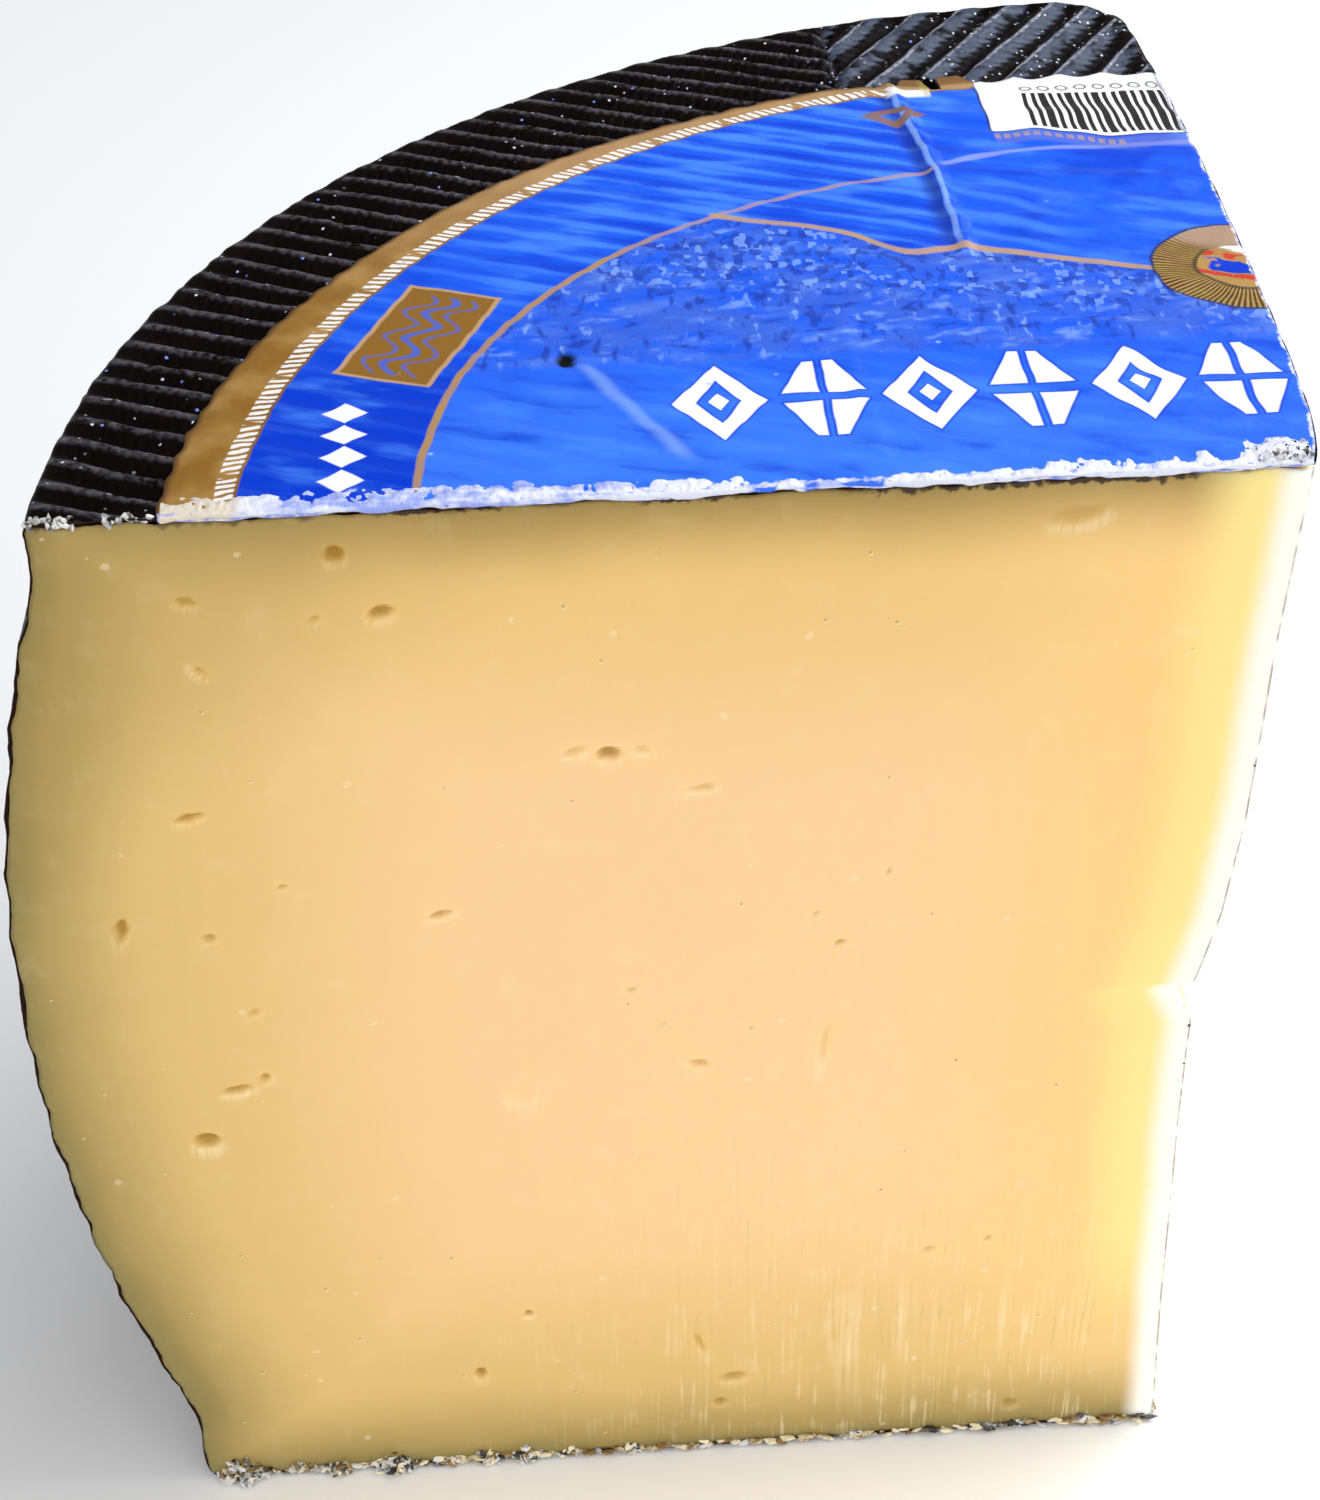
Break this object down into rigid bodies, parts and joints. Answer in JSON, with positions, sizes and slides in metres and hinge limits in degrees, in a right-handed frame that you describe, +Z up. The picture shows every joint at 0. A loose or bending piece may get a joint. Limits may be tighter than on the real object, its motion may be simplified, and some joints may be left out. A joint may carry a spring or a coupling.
{
  "type": "quarter wheel of semi-cured cheese",
  "caption": "Quarter of a barrel-sided semi-cured cheese wheel: cream paste with small eyes, black plaited rind and printed blue film left on top",
  "frame": {"origin": "middle of the bounding box at the base the cheese stands on", "axes": "+Z up; the first cut face looks along -Y; the second cut face looks roughly along +X; the rind side looks to -X and +Y"},
  "size_m": [0.1044, 0.098, 0.1082],
  "materials": {
    "paste": "moist cream paste, slightly translucent",
    "rind": "black waxed rind with a satin shine",
    "film": "glossy printed film, blue and gold"
  },
  "bodies": {
    "root": {"cheese": "paste", "film": "film"}
  },
  "joints": []
}
